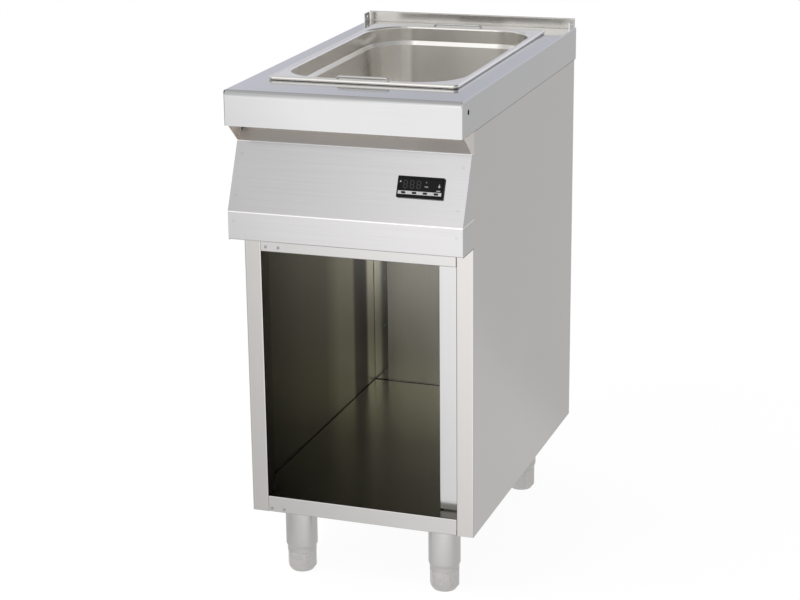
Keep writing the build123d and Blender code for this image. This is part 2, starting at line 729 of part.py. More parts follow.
step_end = valve_end + valve_step
body_line = [(0, valve_top), (valve_flats, valve_top), (valve_flats, valve_top - valve_end),
             (valve_barrel, valve_top - step_end), (valve_barrel, valve_bottom + step_end),
             (valve_flats, valve_bottom + valve_end), (valve_flats, valve_bottom), (0, valve_bottom)]
valve = turned(body_line, drain_x, drain_y)
ends = hexagon(valve_flats, Plane(origin=(drain_x, drain_y, valve_bottom)), valve_length)
ends += round_z(valve_barrel, valve_bottom + valve_end, valve_top - valve_end, drain_x, drain_y)
valve = valve & ends
boss_y = drain_y - valve_barrel - valve_boss_length
stem_end = drain_y - valve_barrel / 2
valve += round_y(valve_boss, boss_y, stem_end, drain_x, valve_z)
valve -= round_z(tube_r + seam, valve_top - valve_socket, valve_top + 1, drain_x, drain_y)
valve -= round_z(drain_bore / 2, valve_z + valve_socket, valve_top + 1, drain_x, drain_y)
valve -= round_z(drain_bore / 2 + seam, valve_bottom - 1, valve_bottom + valve_socket, drain_x, drain_y)
valve -= round_y(stem_radius + run, boss_y - 1, stem_end - stem_radius / 2, drain_x, valve_z)
parts["drain_valve_body"] = valve

lever_back = boss_y - lever_gap
lever_y = lever_back - lever_sheet
arm_line = Pos(-lever_length / 2 + lever_width / 2, 0) * SlotOverall(lever_length, lever_width)
arm = Plane(origin=(drain_x, lever_back, valve_z), x_dir=(1, 0, 0), z_dir=(0, -1, 0)) * arm_line
lever = extrude(arm, amount=lever_sheet)
grip_line = SlotOverall(grip_length, lever_width + grip_extra)
grip_line = Pos(-lever_length + lever_width / 2 + grip_length / 2, 0) * grip_line
grip_back = lever_back + (grip_thick - lever_sheet) / 2 - slip
grip = Plane(origin=(drain_x, grip_back, valve_z), x_dir=(1, 0, 0), z_dir=(0, -1, 0)) * grip_line
lever += extrude(grip, amount=grip_thick)
lever += round_y(stem_radius, lever_y + 1, stem_end - stem_radius, drain_x, valve_z)
lever += round_y(lever_screw, lever_y - lever_screw_head, lever_y + 1, drain_x, valve_z)
parts["valve_lever"] = lever

barb = drain_bore / 2
tail_in = valve_bottom + valve_socket - 1
tail_end = valve_bottom - tail_length
collar_end = valve_bottom - tail_collar_height
parts["drain_spout"] = turned(
    [(barb - tail_wall, tail_in), (barb, tail_in), (barb, valve_bottom), (barb + tail_collar, valve_bottom),
     (barb + tail_collar, collar_end), (barb, collar_end), (barb, tail_end + tail_tip),
     (barb - tail_wall / 2, tail_end), (barb - tail_wall, tail_end)], drain_x, drain_y)

# Cable gland in the back panel: flange outside, locknut and clamping dome inside, bore for the supply cable.
gland = round_y(gland_flange, back_out, back_out + gland_proud, gland_x, gland_height)
gland = chamfer(gland.edges().group_by(Axis.Y)[-1], gland_proud / 3)
gland += round_y(gland_body, carcass_rear - gland_inside, back_out + 1, gland_x, gland_height)
gland += hexagon(2.5 * gland_body, Plane(origin=(gland_x, carcass_rear, gland_height), z_dir=(0, -1, 0)),
                 gland_locknut)
gland -= round_y(gland_bore, carcass_rear - gland_inside - 1, back_out + gland_proud + 1, gland_x, gland_height)
parts["cable_gland"] = gland

# Food pan: drawn body with stacking shoulder, tapered lower wall and a flange with a rolled edge.
body_x = pan_width / 2 - side_flange
body_y = pan_length / 2 - end_flange
shoulder_z = rim_top - shoulder_drop
shoulder_top = shoulder_z + shoulder_height
shoulder_taper = degrees(atan2(shoulder_step, shoulder_height))
pan_floor = rim_top - pan_depth + pan_sheet


def pan_plug(extra, floor_z, upper_z):
    """The drawn body of the pan: a straight collar, the steep shoulder below it and a tapered tub."""
    low_x = body_x - shoulder_step + extra
    low_y = body_y - shoulder_step + extra
    plug = tray(low_x, low_y, pan_corner - shoulder_step + extra, floor_z, shoulder_z, wall_taper)
    plug = fillet(plug.faces().sort_by(Axis.Z)[0].edges(), pan_floor_bend + extra)
    plug += tray(body_x + extra, body_y + extra, pan_corner + extra, shoulder_z, shoulder_top, shoulder_taper)
    return plug + tray(body_x + extra, body_y + extra, pan_corner + extra, shoulder_top, upper_z)


roll_r = pan_roll / 2
roll_x = pan_width / 2 - roll_r
roll_y = pan_length / 2 - roll_r
roll_corner = pan_rim_corner - roll_r
roll_line = Pos(0, pan_centre, top + roll_r) * RectangleRounded(2 * roll_x, 2 * roll_y, roll_corner).wire()
roll_start = Plane(origin=(roll_x, pan_centre, top + roll_r), z_dir=(0, 1, 0))
flange = tray(roll_x, roll_y, roll_corner, rim_top - pan_sheet, rim_top)
flange += sweep(roll_start * Circle(roll_r), path=roll_line)
pan = flange + pan_plug(pan_sheet, pan_floor - pan_sheet, rim_top - pan_sheet / 2)
under_edge = [e for e in pan.edges() if abs(e.center().Z - rim_top + pan_sheet) < 0.01
              and abs(e.center().X) < body_x + pan_sheet + 0.5
              and abs(e.center().Y - pan_centre) < body_y + pan_sheet + 0.5]
pan = chamfer(under_edge, (lip_bend - pan_sheet) / 2)
pan -= pan_plug(0, pan_floor, rim_top + 1)
lip_edge = [e for e in pan.edges() if abs(e.center().Z - rim_top) < 0.01
            and abs(e.center().X) < body_x + 0.5 and abs(e.center().Y - pan_centre) < body_y + 0.5]
pan = fillet(lip_edge, lip_bend)

# Wire handles: bar and bends above the flange, legs through it with toes turned out that stop the lifted handle.
# Each wire is cut at the worktop's surface into the grip that is held and the two legs hidden below.
bar_z = rim_top + handle_rise
toe_z = bar_z - handle_drop
leg_half = handle_span / 2
wire_r = wire / 2
cut_z = top + seam
outline = FilletPolyline((-leg_half - handle_toe, toe_z), (-leg_half, toe_z), (-leg_half, bar_z), (leg_half, bar_z),
                         (leg_half, toe_z), (leg_half + handle_toe, toe_z), radius=handle_bend)
for name, sign in (("front", -1), ("rear", 1)):
    y = pan_centre + sign * (pan_length / 2 - handle_inset)
    start = Plane(origin=(-leg_half - handle_toe, 0, toe_z), z_dir=(1, 0, 0))
    handle = Pos(0, y, 0) * sweep(start * Circle(wire_r), path=Plane.XZ * outline)
    reach = leg_half + handle_toe + 1
    parts[f"pan_handle_{name}"] = handle & block(-reach, reach, y - wire, y + wire, cut_z, bar_z + wire)
    parts[f"handle_legs_{name}"] = handle & block(-reach, reach, y - wire, y + wire, toe_z - wire, cut_z)
    for x in (-leg_half, leg_half):
        pan -= round_z(wire_r + handle_hole_gap, top - 2, rim_top + 2, x, y)
parts["gn_pan"] = pan

for name, shape in parts.items():
    export_step(shape, f"parts/{name}.step")
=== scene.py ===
from math import pi, radians

import bpy
from mathutils import Matrix, Vector


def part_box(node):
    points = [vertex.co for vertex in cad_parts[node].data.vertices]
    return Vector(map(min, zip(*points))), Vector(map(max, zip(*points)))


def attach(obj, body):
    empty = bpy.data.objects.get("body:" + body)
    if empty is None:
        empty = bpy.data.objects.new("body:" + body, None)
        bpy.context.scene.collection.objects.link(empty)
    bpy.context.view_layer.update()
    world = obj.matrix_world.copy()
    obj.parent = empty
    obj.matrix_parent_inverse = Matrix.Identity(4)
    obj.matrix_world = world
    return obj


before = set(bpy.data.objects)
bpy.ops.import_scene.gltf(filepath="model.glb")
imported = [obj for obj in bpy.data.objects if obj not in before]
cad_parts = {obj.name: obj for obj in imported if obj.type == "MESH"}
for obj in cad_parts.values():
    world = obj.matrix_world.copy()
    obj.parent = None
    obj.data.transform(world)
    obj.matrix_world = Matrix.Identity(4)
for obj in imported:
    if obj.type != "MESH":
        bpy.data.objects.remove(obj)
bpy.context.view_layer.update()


# Legs
# Four stainless tubes with a necked lower end, turned and polished, each bolted up into a base channel.
# The lathe leaves faint rings round the tube.
def tones(tree, pattern, *stops):
    """Colours a pattern that runs from 0 to 1. Each stop is its place and its colour."""
    ramp = tree.nodes.new("ShaderNodeValToRGB")
    marks = ramp.color_ramp.elements
    for place, colour in stops[1:-1]:
        marks.new(place).color = (*colour, 1)
    for end in (0, -1):
        place, colour = stops[end]
        marks[end].position = place
        marks[end].color = (*colour, 1)
    tree.links.new(pattern, ramp.inputs["Fac"])
    return ramp.outputs["Color"]


def graded(tree, value, span, levels=(0.0, 1.0)):
    """Turns a value that runs over a span into one that runs between two levels."""
    scale = tree.nodes.new("ShaderNodeMapRange")
    for socket, limit in zip(("From Min", "From Max", "To Min", "To Max"), (*span, *levels)):
        scale.inputs[socket].default_value = limit
    tree.links.new(value, scale.inputs["Value"])
    return scale.outputs["Result"]


def steel(name, colour, roughness, grain, streak=0.01, cloud=0.025, bump=0.006, dullness=(0.85, 1.2)):
    """Stainless steel: grain lines drawn out along one axis, over slow clouds of tone and polish."""
    material = bpy.data.materials.new(name)
    material.use_nodes = True
    tree = material.node_tree
    nodes = tree.nodes
    link = tree.links.new
    shader = nodes["Principled BSDF"]
    shader.inputs["Metallic"].default_value = 1.0
    place = nodes.new("ShaderNodeTexCoord")
    stretch = nodes.new("ShaderNodeMapping")
    stretch.inputs["Scale"].default_value = grain
    link(place.outputs["Object"], stretch.inputs["Vector"])
    lines = nodes.new("ShaderNodeTexNoise")
    lines.inputs["Scale"].default_value = 1.0
    lines.inputs["Detail"].default_value = 4.0
    link(stretch.outputs["Vector"], lines.inputs["Vector"])
    clouds = nodes.new("ShaderNodeTexNoise")
    clouds.inputs["Scale"].default_value = 7.0
    clouds.inputs["Detail"].default_value = 2.0
    link(place.outputs["Object"], clouds.inputs["Vector"])
    tone = tones(tree, lines.outputs["Fac"], (0.3, [c * (1 - streak) for c in colour]),
                 (0.7, [c * (1 + streak) for c in colour]))
    haze = tones(tree, clouds.outputs["Fac"], (0.35, [1 - cloud] * 3), (0.65, [1] * 3))
    blend = nodes.new("ShaderNodeMix")
    blend.data_type = "RGBA"
    blend.blend_type = "MULTIPLY"
    blend.inputs["Factor"].default_value = 1.0
    link(tone, blend.inputs["A"])
    link(haze, blend.inputs["B"])
    link(blend.outputs["Result"], shader.inputs["Base Color"])
    polish = graded(tree, clouds.outputs["Fac"], (0.3, 0.7), [share * roughness for share in dullness])
    link(polish, shader.inputs["Roughness"])
    relief = nodes.new("ShaderNodeBump")
    relief.inputs["Strength"].default_value = bump
    relief.inputs["Distance"].default_value = 0.001
    link(lines.outputs["Fac"], relief.inputs["Height"])
    link(relief.outputs["Normal"], shader.inputs["Normal"])
    return material


def dress(material, *node_names):
    """Gives the named solids their finish."""
    for node_name in node_names:
        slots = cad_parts[node_name].data.materials
        slots.clear()
        slots.append(material)


corners = ("front_left", "front_right", "rear_left", "rear_right")
turned_steel = steel("turned_steel", colour=(0.62, 0.61, 0.60), roughness=0.16, grain=(40, 40, 1200),
                     streak=0.03)
for corner in corners:
    dress(turned_steel, "leg_" + corner)

# Feet
# Hexagonal levelling feet of cast steel, a little duller than the tube above.
# Each screws up into its leg by a stem with a rolled thread, which shows when the foot is let down.
cast_steel = steel("cast_steel", colour=(0.67, 0.65, 0.635), roughness=0.2, grain=(150, 150, 150),
                   streak=0.05, bump=0.1)
thread_pitch = 0.0025
thread_root = 0.0098
thread_crest = 0.01026
thread_middle = (thread_root + thread_crest) / 2
thread_foot_share = 0.9
thread_crest_share = 0.25
thread_steps = 24
stem_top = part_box("foot_front_left")[1][2]
thread_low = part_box("leg_front_left")[0][2] + thread_pitch
thread_turns = int((stem_top - thread_low) / thread_pitch) - 1


def start(primitive, scale=(1, 1, 1), **sizes):
    """Starts a piece from a primitive at its size and place, with nothing else selected."""
    bpy.ops.object.select_all(action="DESELECT")
    primitive(**sizes)
    piece = bpy.context.object
    piece.scale = scale
    bpy.ops.object.transform_apply(location=True, rotation=True, scale=True)
    return piece


def pick(piece, rule):
    """Selects the faces of a piece that the rule accepts and opens it in edit mode."""
    bpy.ops.object.mode_set(mode="EDIT")
    bpy.ops.mesh.select_mode(type="FACE")
    bpy.ops.mesh.select_all(action="DESELECT")
    bpy.ops.object.mode_set(mode="OBJECT")
    for face in piece.data.polygons:
        face.select = rule(face)
    bpy.ops.object.mode_set(mode="EDIT")


def fix(piece, name, material, body):
    """Names a finished piece, gives it its finish and fixes it to a body."""
    piece.name = name
    piece.data.name = name
    piece.data.materials.clear()
    piece.data.materials.append(material)
    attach(piece, body)


def copy_at(piece, place, name, material, body):
    """Sets a copy of a modelled piece, with a mesh of its own, at another place or mirrored."""
    twin = bpy.data.objects.new(name, piece.data.copy())
    twin.data.transform(place)
    if place.is_negative:
        twin.data.flip_normals()
    bpy.context.scene.collection.objects.link(twin)
    fix(twin, name, material, body)


thread = start(bpy.ops.mesh.primitive_plane_add, size=1, rotation=(pi / 2, 0, 0),
               location=(thread_middle, 0, thread_low),
               scale=(thread_crest - thread_root, thread_foot_share * thread_pitch, 1))
for point in thread.data.vertices:
    if point.co.x > thread_middle:
        point.co.z = thread_low + thread_crest_share * (point.co.z - thread_low)
bpy.ops.object.mode_set(mode="EDIT")
bpy.ops.mesh.select_all(action="SELECT")
bpy.ops.mesh.delete(type="ONLY_FACE")
bpy.ops.object.mode_set(mode="OBJECT")
winding = thread.modifiers.new("winding", "SCREW")
winding.axis = "Z"
winding.angle = 2 * pi
winding.screw_offset = thread_pitch
winding.iterations = thread_turns
winding.steps = thread_steps
winding.render_steps = thread_steps
bpy.ops.object.modifier_apply(modifier="winding")
bpy.ops.object.mode_set(mode="EDIT")
bpy.ops.mesh.select_mode(type="EDGE")
bpy.ops.mesh.select_all(action="DESELECT")
bpy.ops.mesh.select_non_manifold()
bpy.ops.mesh.fill()
bpy.ops.mesh.select_all(action="SELECT")
bpy.ops.mesh.normals_make_consistent(inside=False)
bpy.ops.object.mode_set(mode="OBJECT")
for corner in corners:
    low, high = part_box("foot_" + corner)
    centre = Matrix.Translation(((low[0] + high[0]) / 2, (low[1] + high[1]) / 2, 0))
    dress(cast_steel, "foot_" + corner)
    copy_at(thread, centre, "foot_thread_" + corner, cast_steel, "foot_" + corner)
bpy.data.objects.remove(thread)

# Base channels and leg bolts
# Two zinc-plated channels folded from thick sheet under the cabinet floor, which take the leg bolts.
# Zinc has a cold tone with small mottled patches.
zinc = steel("zinc", colour=(0.44, 0.46, 0.48), roughness=0.34, grain=(60, 60, 60), streak=0.12, cloud=0.12)
dress(zinc, "base_channel_left", "base_channel_right", "leg_bolts")

# Cabinet floor
# A stainless tray with its front edge folded down as the lower rail between the posts.
# The rail is ground along its width. The tray behind it has a duller finish with painted shade: darker at the
# front, paler towards the rear.
# Hue of the painted shade on the faces inside the cabinet.
inside_shade_tint = (1.0, 1.01, 0.81)
sheet_half = 0.0005
whole_width = 1.0
width_grain = (5, 400, 400)
floor_low, floor_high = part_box("cabinet_floor")


def paint_inside_shade(material, roughness, half_width, front, rear, shades):
    """Dulls the faces of a folded sheet that look into the cabinet and paints shade on them as a darker tone.

    The shades run from the front to the rear, each with its share of the depth."""
    tree = material.node_tree
    nodes = tree.nodes
    link = tree.links.new
    place = nodes.new("ShaderNodeTexCoord")
    split = nodes.new("ShaderNodeSeparateXYZ")
    link(place.outputs["Object"], split.inputs["Vector"])
    off_centre = nodes.new("ShaderNodeMath")
    off_centre.operation = "ABSOLUTE"
    link(split.outputs["X"], off_centre.inputs[0])
    within = nodes.new("ShaderNodeMath")
    within.operation = "LESS_THAN"
    within.inputs[1].default_value = half_width
    link(off_centre.outputs[0], within.inputs[0])
    behind = nodes.new("ShaderNodeMath")
    behind.operation = "COMPARE"
    behind.inputs[1].default_value = (front + rear) / 2
    behind.inputs[2].default_value = (rear - front) / 2
    link(split.outputs["Y"], behind.inputs[0])
    inside = nodes.new("ShaderNodeMath")
    inside.operation = "MULTIPLY"
    link(within.outputs[0], inside.inputs[0])
    link(behind.outputs[0], inside.inputs[1])
    depth = graded(tree, split.outputs["Y"], (front, rear))
    tint = tones(tree, depth, *((share, [shade * c for c in inside_shade_tint]) for share, shade in shades))
    colour_in = nodes["Principled BSDF"].inputs["Base Color"]
    darker = nodes.new("ShaderNodeMix")
    darker.data_type = "RGBA"
    darker.blend_type = "MULTIPLY"
    link(inside.outputs[0], darker.inputs["Factor"])
    link(colour_in.links[0].from_socket, darker.inputs["A"])
    link(tint, darker.inputs["B"])
    link(darker.outputs["Result"], colour_in)
    roughness_in = nodes["Principled BSDF"].inputs["Roughness"]
    duller = nodes.new("ShaderNodeMix")
    duller.inputs["B"].default_value = roughness
    link(inside.outputs[0], duller.inputs["Factor"])
    link(roughness_in.links[0].from_socket, duller.inputs["A"])
    link(duller.outputs["Result"], roughness_in)


floor_steel = steel("floor_steel", colour=(0.63, 0.62, 0.61), roughness=0.2, grain=width_grain)
# Painted shade on the floor inside: dark at the front, pale at the rear.
paint_inside_shade(floor_steel, roughness=0.25, half_width=whole_width,
            front=floor_low[1] + sheet_half, rear=floor_high[1],
            shades=((0.0, 0.19), (0.2, 0.24), (0.5, 0.42), (0.86, 0.95), (1.0, 1.1)))
dress(floor_steel, "cabinet_floor")

# Side panels
# Each is one sheet folded into the outer wall, the front post and the rear post, with the grain upright.
# The inner side has a duller finish with painted shade and painted reflections: a dark band and a pale strip
# near the rear post. The outer side is ground.
upright_grain = (400, 400, 5)
post_low, post_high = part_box("side_panel_right")
side_steel = steel("side_steel", colour=(0.63, 0.61, 0.595), roughness=0.18, grain=upright_grain)
# Painted shade on the inner side, with a painted dark band and a painted pale reflection near the rear post.
paint_inside_shade(side_steel, roughness=0.34, half_width=post_high[0] - sheet_half,
            front=post_low[1] + sheet_half, rear=post_high[1] - 3 * sheet_half,
            shades=((0.0, 0.15), (0.12, 0.24), (0.39, 0.45), (0.58, 0.48), (0.69, 0.84), (0.805, 0.84),
                    (0.83, 0.19), (0.885, 0.11), (0.925, 0.14), (0.945, 1.3), (1.0, 1.4)))
dress(side_steel, "side_panel_left", "side_panel_right")

# Back panel
# A flat sheet that closes the rear. It is screwed to the folded rear posts with round-headed screws.
# Each screw turns in a small flanged nut set in the post, which shows inside the cabinet.
back_steel = steel("back_steel", colour=(0.93, 0.90, 0.84), roughness=0.38, grain=upright_grain)
dress(back_steel, "back_panel")
screw_radius = 0.004
screw_rounding = 0.0008
screw_socket = 0.0022
screw_inset = 0.009
first_screw = 0.047
screw_pitch = 0.096
screw_rows = 7
sharpest_smooth = radians(35)
panel_low, panel_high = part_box("back_panel")


def head(sides, radius, rise, foot, outward, rim, sink, rounding=0.0, steps=1):
    """Turns a round head that stands on a wall at foot, with a hollow sunk inside its rim."""
    def faces_out(face):
        return outward * face.normal.y > 0.99

    piece = start(bpy.ops.mesh.primitive_cylinder_add, vertices=sides, radius=radius, depth=rise,
                  rotation=(-outward * pi / 2, 0, 0), location=(0, foot + outward * rise / 2, 0))
    if rounding:
        pick(piece, faces_out)
        bpy.ops.mesh.bevel(offset=rounding, segments=steps, affect="EDGES")
    pick(piece, faces_out)
    bpy.ops.mesh.inset(thickness=rim)
    bpy.ops.mesh.extrude_region_move(TRANSFORM_OT_translate={"value": (0, -outward * sink, 0)})
    bpy.ops.object.mode_set(mode="OBJECT")
    if rounding:
        bpy.ops.object.shade_smooth_by_angle(angle=sharpest_smooth)
    return piece


screw = head(sides=24, radius=screw_radius, rise=0.0018, foot=panel_high[1], outward=1,
             rim=screw_radius - screw_rounding - screw_socket / 2, sink=0.001, rounding=screw_rounding, steps=3)
post_nut = head(sides=20, radius=0.0034, rise=0.0008, foot=post_high[1] - 2 * sheet_half, outward=-1,
                rim=0.0012, sink=0.0005)
for side, way in (("left", -1), ("right", 1)):
    for row in range(screw_rows):
        spot = Matrix.Translation((way * (post_low[0] + screw_inset), 0,
                                   panel_low[2] + first_screw + row * screw_pitch))
        copy_at(screw, spot, f"back_screw_{side}_{row + 1}", zinc, "frame")
        copy_at(post_nut, spot, f"post_nut_{side}_{row + 1}", zinc, "frame")
bpy.data.objects.remove(screw)
bpy.data.objects.remove(post_nut)

# Top rail, cabinet ceiling and set-back strip
# Folded satin sheets: a channel between the posts, the tray above the cabinet and the strip behind the
# right post. Two blind rivets hold the left end of each rail.
rail_steel = steel("rail_steel", colour=(0.63, 0.62, 0.61), roughness=0.18, grain=width_grain)
dress(rail_steel, "top_rail", "cabinet_ceiling")
strip_steel = steel("strip_steel", colour=(0.64, 0.63, 0.63), roughness=0.18, grain=upright_grain)
dress(strip_steel, "door_stop_strip")
rail_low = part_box("top_rail")[0]
rivet = head(sides=20, radius=0.0026, rise=0.001, foot=rail_low[1], outward=-1, rim=0.0009, sink=0.0006,
             rounding=0.0009, steps=4)
top_rivets = (rail_low[2] + 0.0082, 0.0086, 0.0310)
low_rivets = (floor_low[2] + 0.0064, 0.0059, 0.0285)
for rail, (height, *insets) in (("top", top_rivets), ("low", low_rivets)):
    for count, inset in enumerate(insets, 1):
        spot = Matrix.Translation((rail_low[0] + inset, 0, height))
        copy_at(rivet, spot, f"rail_rivet_{rail}_{count}", zinc, "frame")
bpy.data.objects.remove(rivet)

# Water tank, element supports and probe
# A satin stainless tray, drawn from one sheet and hung by its rim under the worktop's opening.
# Two notched brackets stand on its floor, and the probe passes through its front wall.
tank_steel = steel("tank_steel", colour=(0.78, 0.765, 0.74), roughness=0.4, grain=(60, 60, 60), streak=0.05)
dress(tank_steel, "water_tank", "element_supports", "temperature_probe")

# Tank insulation
# Mineral wool boards, cut to size and pressed round the tank's walls and floor.
# The fibres lie in long tangled strands of a yellow grey.
wool = bpy.data.materials.new("mineral_wool")
wool.use_nodes = True
wool_tree = wool.node_tree
nodes = wool_tree.nodes
link = wool_tree.links.new
wool_place = nodes.new("ShaderNodeTexCoord")
fibres = nodes.new("ShaderNodeTexNoise")
fibres.inputs["Scale"].default_value = 60.0
fibres.inputs["Detail"].default_value = 8.0
fibres.inputs["Distortion"].default_value = 2.0
link(wool_place.outputs["Object"], fibres.inputs["Vector"])
wool_tone = tones(wool_tree, fibres.outputs["Fac"], (0.0, (0.30, 0.26, 0.16)), (1.0, (0.62, 0.57, 0.42)))
link(wool_tone, nodes["Principled BSDF"].inputs["Base Color"])
nodes["Principled BSDF"].inputs["Roughness"].default_value = 0.95
wool_relief = nodes.new("ShaderNodeBump")
wool_relief.inputs["Strength"].default_value = 0.6
wool_relief.inputs["Distance"].default_value = 0.002
link(fibres.outputs["Fac"], wool_relief.inputs["Height"])
link(wool_relief.outputs["Normal"], nodes["Principled BSDF"].inputs["Normal"])
dress(wool, "tank_insulation")

# Heating element
# One steel tube bent into a flat serpentine, with both ends through the tank's front wall.
# Heat has turned it brown in cloudy patches.
element_steel = steel("element_steel", colour=(0.24, 0.215, 0.19), roughness=0.38, grain=(90, 90, 90),
                      streak=0.15, cloud=0.35)
dress(element_steel, "heating_element")

# Drain and element fittings
# Plain turned brass: the drain's flanged tail, the ball valve and the hose tail, screwed together under the
# tank, and the gland nuts that hold the element's ends in the tank's wall.
brass = steel("brass", colour=(0.62, 0.46, 0.22), roughness=0.34, grain=(150, 150, 150),
              streak=0.08, cloud=0.18)
dress(brass, "element_fittings", "drain_fitting", "drain_valve_body", "drain_spout")


# Valve lever and reset button
# Moulded red plastic with a fine spark finish from the mould. The lever is fixed on the valve's stem, and
# the button slides in the nose of the safety thermostat.
def plastic(name, colour, roughness, spark_size=900.0, bump=0.1, shine=0.5):
    """Moulded plastic: a fine spark finish over faint changes of tone."""
    change = 0.12
    material = bpy.data.materials.new(name)
    material.use_nodes = True
    tree = material.node_tree
    nodes = tree.nodes
    link = tree.links.new
    shader = nodes["Principled BSDF"]
    shader.inputs["Roughness"].default_value = roughness
    shader.inputs["Specular IOR Level"].default_value = shine
    place = nodes.new("ShaderNodeTexCoord")
    spark = nodes.new("ShaderNodeTexNoise")
    spark.inputs["Scale"].default_value = spark_size
    spark.inputs["Detail"].default_value = 2.0
    link(place.outputs["Object"], spark.inputs["Vector"])
    tone = tones(tree, spark.outputs["Fac"], (0.35, [c * (1 - change) for c in colour]),
                 (0.65, [min(c * (1 + change), 1.0) for c in colour]))
    link(tone, shader.inputs["Base Color"])
    relief = nodes.new("ShaderNodeBump")
    relief.inputs["Strength"].default_value = bump
    relief.inputs["Distance"].default_value = 0.0003
    link(spark.outputs["Fac"], relief.inputs["Height"])
    link(relief.outputs["Normal"], shader.inputs["Normal"])
    return material


red_plastic = plastic("red_plastic", colour=(0.45, 0.03, 0.02), roughness=0.4)
dress(red_plastic, "valve_lever", "reset_button")

# Worktop and joining pieces
# One pressing with a round nose, ground along its width. Lugs at the rear corners bolt it to the next module,
# and blackened weld nuts stand behind the joining holes in its skirts.
worktop_steel = steel("worktop_steel", colour=(0.60, 0.60, 0.605), roughness=0.08, grain=width_grain)
dress(worktop_steel, "worktop", "joining_lug_left", "joining_lug_right")
black_oxide = steel("black_oxide", colour=(0.03, 0.03, 0.03), roughness=0.45, grain=(90, 90, 90), streak=0.2)
dress(black_oxide, "joining_nut_left", "joining_nut_right")

# Rear upstand
# A capping strip folded from thin stainless sheet over the upper edge of the back panel.
# It is ground along its width and stands behind the worktop as a low splash edge.
upstand_steel = steel("upstand_steel", colour=(0.60, 0.585, 0.55), roughness=0.2, grain=width_grain)
dress(upstand_steel, "rear_upstand")

# Food pan and wire handles
# A deep-drawn stainless pan with a stacking shoulder, satin inside, that stands in the worktop's opening.
# The handles are bent from polished wire and hang in holes of the pan's flange.
pan_steel = steel("pan_steel", colour=(0.93, 0.912, 0.875), roughness=0.24, grain=(50, 50, 50),
                  dullness=(0.97, 1.05))
dress(pan_steel, "gn_pan")
wire_steel = steel("wire_steel", colour=(0.60, 0.60, 0.59), roughness=0.1, grain=(40, 900, 900))
dress(wire_steel, "pan_handle_front", "pan_handle_rear", "handle_legs_front", "handle_legs_rear")

# Control fascia
# One sheet folded as undercut, slanted face and lip, ground along its width and closed by two end cheeks.
# The cheeks are spot-welded to it, which leaves faint round marks near both ends. The undercut is satin and is
# painted lighter and warmer as painted light, and the folds carry painted highlights.
fascia_steel = steel("fascia_steel", colour=(0.62, 0.61, 0.615), roughness=0.17, grain=width_grain,
                     streak=0.018)
weld_radius = 0.0022
weld_fade = 0.0012
weld_tone = 0.93
weld_spots = ((0.1885, -0.3082, 0.7597), (0.1885, -0.3369, 0.6966), (0.1898, -0.3482, 0.6560))
# Painted light: the undercut's colour is raised and warmed.
undercut_foot = 0.7805
undercut_light_tint = (1.35, 1.295, 1.2, 1)
undercut_roughness = 0.42
fold_heights = (0.7796, 0.6716)
fold_half = 0.0010
# Colour of the painted highlights along the two folds.
fold_highlight_colour = (0.90, 0.89, 0.88, 1)
fascia_tree = fascia_steel.node_tree
nodes = fascia_tree.nodes
link = fascia_tree.links.new
colour_in = nodes["Principled BSDF"].inputs["Base Color"]
roughness_in = nodes["Principled BSDF"].inputs["Roughness"]
fascia_place = nodes.new("ShaderNodeTexCoord")
both_ends = nodes.new("ShaderNodeVectorMath")
both_ends.operation = "ABSOLUTE"
link(fascia_place.outputs["Object"], both_ends.inputs[0])
for spot in weld_spots:
    away = nodes.new("ShaderNodeVectorMath")
    away.operation = "DISTANCE"
    away.inputs[1].default_value = [abs(c) for c in spot]
    link(both_ends.outputs["Vector"], away.inputs[0])
    mark = graded(fascia_tree, away.outputs["Value"], (weld_radius, weld_radius + weld_fade), (weld_tone, 1.0))
    burn = nodes.new("ShaderNodeVectorMath")
    burn.operation = "SCALE"
    link(colour_in.links[0].from_socket, burn.inputs[0])
    link(mark, burn.inputs["Scale"])
    link(burn.outputs["Vector"], colour_in)
split = nodes.new("ShaderNodeSeparateXYZ")
link(fascia_place.outputs["Object"], split.inputs["Vector"])
in_undercut = nodes.new("ShaderNodeMath")
in_undercut.operation = "GREATER_THAN"
in_undercut.inputs[1].default_value = undercut_foot
link(split.outputs["Z"], in_undercut.inputs[0])
# The undercut's painted light.
undercut_tone = nodes.new("ShaderNodeMix")
undercut_tone.data_type = "RGBA"
undercut_tone.blend_type = "MULTIPLY"
undercut_tone.inputs["B"].default_value = undercut_light_tint
link(in_undercut.outputs[0], undercut_tone.inputs["Factor"])
link(colour_in.links[0].from_socket, undercut_tone.inputs["A"])
link(undercut_tone.outputs["Result"], colour_in)
undercut_satin = nodes.new("ShaderNodeMix")
undercut_satin.inputs["B"].default_value = undercut_roughness
link(in_undercut.outputs[0], undercut_satin.inputs["Factor"])
link(roughness_in.links[0].from_socket, undercut_satin.inputs["A"])
link(undercut_satin.outputs["Result"], roughness_in)
# Painted highlights: a thin bright line along each fold.
for fold_height in fold_heights:
    at_fold = nodes.new("ShaderNodeMath")
    at_fold.operation = "COMPARE"
    at_fold.inputs[1].default_value = fold_height
    at_fold.inputs[2].default_value = fold_half
    link(split.outputs["Z"], at_fold.inputs[0])
    fold_highlight = nodes.new("ShaderNodeMix")
    fold_highlight.data_type = "RGBA"
    fold_highlight.inputs["B"].default_value = fold_highlight_colour
    link(at_fold.outputs[0], fold_highlight.inputs["Factor"])
    link(colour_in.links[0].from_socket, fold_highlight.inputs["A"])
    link(fold_highlight.outputs["Result"], colour_in)
dress(fascia_steel, "control_fascia", "cheek_left", "cheek_right")

